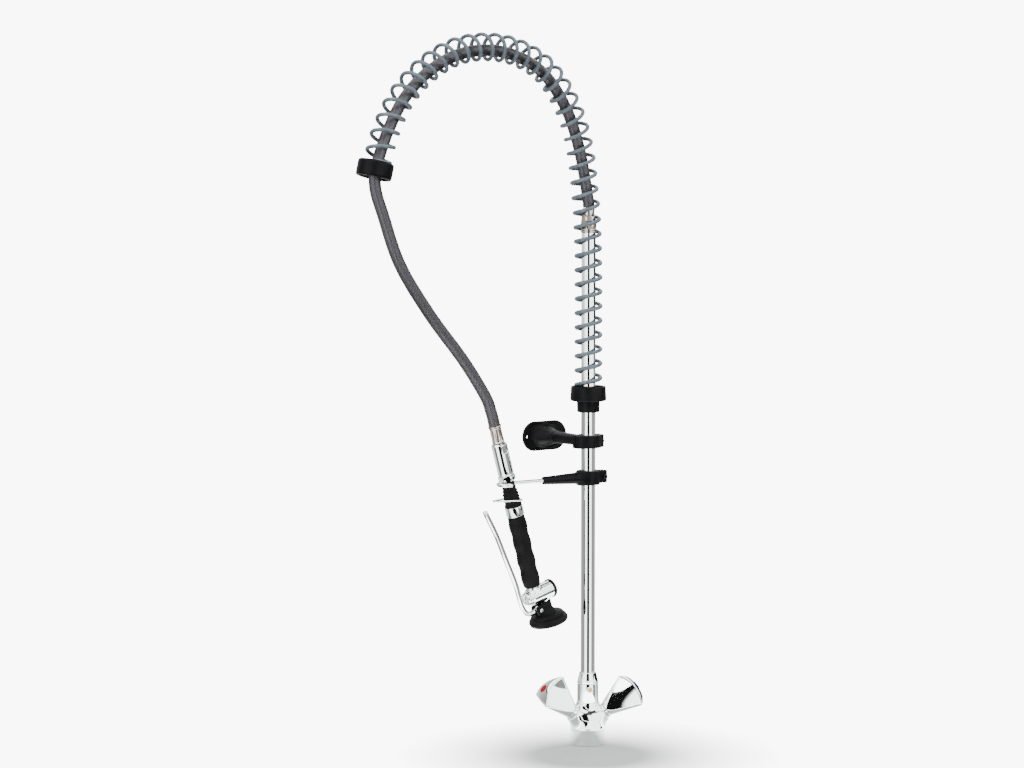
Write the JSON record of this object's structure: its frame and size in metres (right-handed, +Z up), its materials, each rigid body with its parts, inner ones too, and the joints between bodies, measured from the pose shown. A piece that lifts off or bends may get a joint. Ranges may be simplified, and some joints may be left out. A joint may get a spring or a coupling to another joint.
{
  "type": "pre rinse faucet",
  "caption": "Deck-mounted pre rinse faucet: two-handle mixer, tall riser with a sprung hose arch, wall bracket, hook and a lever-operated spray gun hanging from the hose.",
  "frame": {"origin": "centre of the mixer's underside, where it stands on the deck", "axes": "+Z up along the riser, +Y towards the wall, the hose arch and the spray gun towards -X"},
  "size_m": [0.5087, 0.1784, 1.098],
  "materials": {
    "chrome": "bright chrome plating",
    "brass": "machined",
    "nickel": "nickel plated",
    "black_steel": "black oxide",
    "black_plastic": "satin moulded",
    "black_rubber": "matt moulded",
    "spring_coating": "semi-gloss coating",
    "hose_braid": "braided",
    "hot_mark": "gloss",
    "cold_mark": "gloss"
  },
  "bodies": {
    "base": {"mixer_body": "chrome", "base_seal": "black_rubber", "socket_cone": "chrome", "grub_screw": "brass", "hot_cartridge": "brass", "hot_sleeve": "chrome", "cold_cartridge": "brass", "cold_sleeve": "chrome", "wall_bracket": "black_plastic", "bracket_cap": "black_plastic", "bracket_screw_left": "black_steel", "bracket_screw_right": "black_steel"},
    "hot_handle": {"hot_handle": "chrome", "hot_spindle": "brass", "hot_handle_screw": "nickel", "hot_index": "hot_mark"},
    "cold_handle": {"cold_handle": "chrome", "cold_spindle": "brass", "cold_handle_screw": "nickel", "cold_index": "cold_mark"},
    "riser": {"riser_spigot": "brass", "spigot_o_ring_lower": "black_rubber", "spigot_o_ring_upper": "black_rubber", "riser_tube": "chrome", "riser_top_adapter": "nickel", "hose_nut": "nickel", "hose_washer": "black_rubber", "hose_ferrule_lower": "nickel", "spring_seat": "black_plastic", "seat_screw": "nickel", "support_spring": "spring_coating", "spring_end_ring": "black_plastic", "hose": "hose_braid", "hook_clamp": "black_plastic", "hook_screw": "black_steel", "hook_rod": "chrome"},
    "hose_end": {"gun_ferrule": "nickel", "swivel_sleeve": "chrome"},
    "gun": {"swivel_stem": "brass", "swivel_o_ring": "black_rubber", "lock_ring": "chrome", "neck_collar": "black_rubber", "chrome_band": "chrome", "grip": "black_rubber", "gun_tube": "brass", "valve_body": "chrome", "valve_cap": "black_plastic", "packing_nut": "chrome", "plunger_seal": "black_rubber", "valve_spring": "nickel", "pivot_pin": "chrome", "spray_head": "black_rubber", "spray_plate": "chrome", "spray_plate_screw": "nickel"},
    "lever": {"lever": "chrome"},
    "plunger": {"plunger": "chrome", "valve_disc": "black_rubber"},
    "hold_open_ring": {"hold_open_ring": "chrome"}
  },
  "joints": [
    {"name": "hot_handle_turn", "type": "hinge", "parent": "base", "child": "hot_handle", "pos_m": [0, 0, 0.03], "axis": [-0.7532, 0.1822, 0.632], "range_deg": [0, 90]},
    {"name": "cold_handle_turn", "type": "hinge", "parent": "base", "child": "cold_handle", "pos_m": [0, 0, 0.03], "axis": [0.6237, -0.4599, 0.632], "range_deg": [-90, 0]},
    {"name": "riser_swivel", "type": "hinge", "parent": "base", "child": "riser", "pos_m": [0, 0, 0], "axis": [0, 0, 1], "range_deg": [-10, 190]},
    {"name": "spray_unhook", "type": "slide", "parent": "riser", "child": "hose_end", "axis": [0.9063, -0.4226, 0], "range_m": [0, 0.04], "deforming": ["hose"]},
    {"name": "spray_swivel", "type": "hinge", "parent": "hose_end", "child": "gun", "pos_m": [-0.1827, 0, 0.5081], "axis": [-0.279, 0, 0.9603], "continuous": true},
    {"name": "lever_squeeze", "type": "hinge", "parent": "gun", "child": "lever", "pos_m": [-0.09824, 0, 0.21919], "axis": [0, 1, 0], "range_deg": [0, 9.5], "stiffness_Nm_per_rad": 1.2, "springref_deg": -14.32},
    {"name": "plunger_slide", "type": "slide", "parent": "gun", "child": "plunger", "axis": [0.9603, 0, 0.279], "range_m": [0, 0.005], "deforming": ["valve_spring"]},
    {"name": "hold_open_flip", "type": "hinge", "parent": "gun", "child": "hold_open_ring", "pos_m": [-0.14922, 0, 0.39287], "axis": [0, 1, 0], "range_deg": [-35, 0]}
  ],
  "couplings": [
    {"joint": "plunger_slide", "follows": "lever_squeeze", "m_per_rad": 0.0275}
  ]
}
